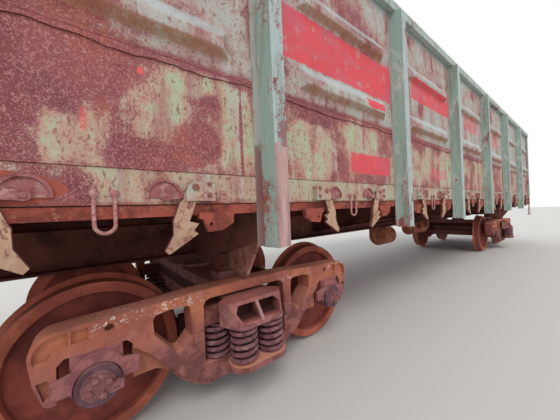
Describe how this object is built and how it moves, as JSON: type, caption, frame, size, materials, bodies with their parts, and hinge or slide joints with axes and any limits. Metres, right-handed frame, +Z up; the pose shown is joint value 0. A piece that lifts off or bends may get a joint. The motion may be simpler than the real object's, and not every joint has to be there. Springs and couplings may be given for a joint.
{
  "type": "open hopper wagon",
  "caption": "Open four-axle railway wagon with ribbed sides, a floor of opening hatches with hooked latches and two cast bogies.",
  "frame": {"origin": "under the wagon's middle, level with the lowest points of the wheel flanges", "axes": "+X along the wagon, +Y across it, +Z up"},
  "size_m": [14.14, 3.142, 3.512],
  "materials": {
    "pale_green_paint": "worn matt paint, pale yellow-green with rust showing through",
    "rusted_green_paint": "pale green paint mostly lost to dark rust",
    "hatch_rust": "red-brown rust with bright orange edges",
    "underframe_paint": "very dark brown, dull and oily",
    "worn_steel": "grey-brown speckled rust",
    "ochre_paint": "worn yellow-green paint with maroon rusted edges",
    "maroon_rust": "dull maroon rust",
    "orange_rust": "orange-brown rust",
    "cast_steel": "rough cast steel, brown",
    "cast_rust": "rough cast steel, orange-brown rust",
    "axle_box_rust": "rough cast steel, grey-purple rust",
    "spring_steel": "purple-brown rusted spring steel",
    "wheel_steel": "dark red-brown with worn bright treads"
  },
  "bodies": {
    "wagon": {"centre_sill": "underframe_paint", "end_beams": "underframe_paint", "cross_beams": "underframe_paint", "bolster_beams": "underframe_paint", "jacking_plates": "worn_steel", "bottom_rails": "pale_green_paint", "lower_sheets": "rusted_green_paint", "upper_sheets": "pale_green_paint", "side_posts": "pale_green_paint", "corner_posts": "pale_green_paint", "end_walls": "rusted_green_paint", "end_stiffeners": "pale_green_paint", "side_top_rails": "pale_green_paint", "end_top_rails": "pale_green_paint", "hinge_lugs": "underframe_paint", "latch_hooks": "ochre_paint", "latch_brackets": "pale_green_paint", "latch_sectors": "maroon_rust", "lashing_loops": "maroon_rust", "couplers": "cast_steel", "ladders": "maroon_rust", "brake_cylinder": "orange_rust", "air_reservoir": "orange_rust", "train_pipe": "underframe_paint"},
    "hatch_near_1": {"lid_near_1": "hatch_rust"},
    "hatch_near_2": {"lid_near_2": "hatch_rust"},
    "hatch_near_3": {"lid_near_3": "hatch_rust"},
    "hatch_near_4": {"lid_near_4": "hatch_rust"},
    "hatch_near_5": {"lid_near_5": "hatch_rust"},
    "hatch_near_6": {"lid_near_6": "hatch_rust"},
    "hatch_near_7": {"lid_near_7": "hatch_rust"},
    "hatch_far_1": {"lid_far_1": "hatch_rust"},
    "hatch_far_2": {"lid_far_2": "hatch_rust"},
    "hatch_far_3": {"lid_far_3": "hatch_rust"},
    "hatch_far_4": {"lid_far_4": "hatch_rust"},
    "hatch_far_5": {"lid_far_5": "hatch_rust"},
    "hatch_far_6": {"lid_far_6": "hatch_rust"},
    "hatch_far_7": {"lid_far_7": "hatch_rust"},
    "bogie_1": {"side_frames_1": "cast_rust", "bolster_1": "cast_rust", "springs_1": "spring_steel", "wedges_1": "cast_rust", "axle_boxes_1": "axle_box_rust", "brake_beams_1": "maroon_rust"},
    "bogie_2": {"side_frames_2": "cast_rust", "bolster_2": "cast_rust", "springs_2": "spring_steel", "wedges_2": "cast_rust", "axle_boxes_2": "axle_box_rust", "brake_beams_2": "maroon_rust"},
    "wheelset_1": {"wheels_1": "wheel_steel", "axle_1": "wheel_steel"},
    "wheelset_2": {"wheels_2": "wheel_steel", "axle_2": "wheel_steel"},
    "wheelset_3": {"wheels_3": "wheel_steel", "axle_3": "wheel_steel"},
    "wheelset_4": {"wheels_4": "wheel_steel", "axle_4": "wheel_steel"}
  },
  "joints": [
    {"name": "hatch_near_1_hinge", "type": "hinge", "parent": "wagon", "child": "hatch_near_1", "pos_m": [-5.215, -0.108, 1.393], "axis": [1, 0, 0], "range_deg": [0, 24]},
    {"name": "hatch_near_2_hinge", "type": "hinge", "parent": "wagon", "child": "hatch_near_2", "pos_m": [-3.46, -0.108, 1.393], "axis": [1, 0, 0], "range_deg": [0, 24]},
    {"name": "hatch_near_3_hinge", "type": "hinge", "parent": "wagon", "child": "hatch_near_3", "pos_m": [-1.73, -0.108, 1.393], "axis": [1, 0, 0], "range_deg": [0, 31]},
    {"name": "hatch_near_4_hinge", "type": "hinge", "parent": "wagon", "child": "hatch_near_4", "pos_m": [0, -0.108, 1.393], "axis": [1, 0, 0], "range_deg": [0, 31]},
    {"name": "hatch_near_5_hinge", "type": "hinge", "parent": "wagon", "child": "hatch_near_5", "pos_m": [1.73, -0.108, 1.393], "axis": [1, 0, 0], "range_deg": [0, 31]},
    {"name": "hatch_near_6_hinge", "type": "hinge", "parent": "wagon", "child": "hatch_near_6", "pos_m": [3.46, -0.108, 1.393], "axis": [1, 0, 0], "range_deg": [0, 24]},
    {"name": "hatch_near_7_hinge", "type": "hinge", "parent": "wagon", "child": "hatch_near_7", "pos_m": [5.215, -0.108, 1.393], "axis": [1, 0, 0], "range_deg": [0, 24]},
    {"name": "hatch_far_1_hinge", "type": "hinge", "parent": "wagon", "child": "hatch_far_1", "pos_m": [-5.215, 0.108, 1.393], "axis": [-1, 0, 0], "range_deg": [0, 24]},
    {"name": "hatch_far_2_hinge", "type": "hinge", "parent": "wagon", "child": "hatch_far_2", "pos_m": [-3.46, 0.108, 1.393], "axis": [-1, 0, 0], "range_deg": [0, 24]},
    {"name": "hatch_far_3_hinge", "type": "hinge", "parent": "wagon", "child": "hatch_far_3", "pos_m": [-1.73, 0.108, 1.393], "axis": [-1, 0, 0], "range_deg": [0, 31]},
    {"name": "hatch_far_4_hinge", "type": "hinge", "parent": "wagon", "child": "hatch_far_4", "pos_m": [0, 0.108, 1.393], "axis": [-1, 0, 0], "range_deg": [0, 31]},
    {"name": "hatch_far_5_hinge", "type": "hinge", "parent": "wagon", "child": "hatch_far_5", "pos_m": [1.73, 0.108, 1.393], "axis": [-1, 0, 0], "range_deg": [0, 31]},
    {"name": "hatch_far_6_hinge", "type": "hinge", "parent": "wagon", "child": "hatch_far_6", "pos_m": [3.46, 0.108, 1.393], "axis": [-1, 0, 0], "range_deg": [0, 24]},
    {"name": "hatch_far_7_hinge", "type": "hinge", "parent": "wagon", "child": "hatch_far_7", "pos_m": [5.215, 0.108, 1.393], "axis": [-1, 0, 0], "range_deg": [0, 24]},
    {"name": "bogie_1_swivel", "type": "hinge", "parent": "wagon", "child": "bogie_1", "pos_m": [-4.325, 0, 0.843], "axis": [0, 0, 1], "range_deg": [-3, 3]},
    {"name": "bogie_2_swivel", "type": "hinge", "parent": "wagon", "child": "bogie_2", "pos_m": [4.325, 0, 0.843], "axis": [0, 0, 1], "range_deg": [-3, 3]},
    {"name": "wheelset_1_roll", "type": "hinge", "parent": "bogie_1", "child": "wheelset_1", "pos_m": [-5.25, 0, 0.503], "axis": [0, 1, 0], "continuous": true},
    {"name": "wheelset_2_roll", "type": "hinge", "parent": "bogie_1", "child": "wheelset_2", "pos_m": [-3.4, 0, 0.503], "axis": [0, 1, 0], "continuous": true},
    {"name": "wheelset_3_roll", "type": "hinge", "parent": "bogie_2", "child": "wheelset_3", "pos_m": [3.4, 0, 0.503], "axis": [0, 1, 0], "continuous": true},
    {"name": "wheelset_4_roll", "type": "hinge", "parent": "bogie_2", "child": "wheelset_4", "pos_m": [5.25, 0, 0.503], "axis": [0, 1, 0], "continuous": true}
  ]
}
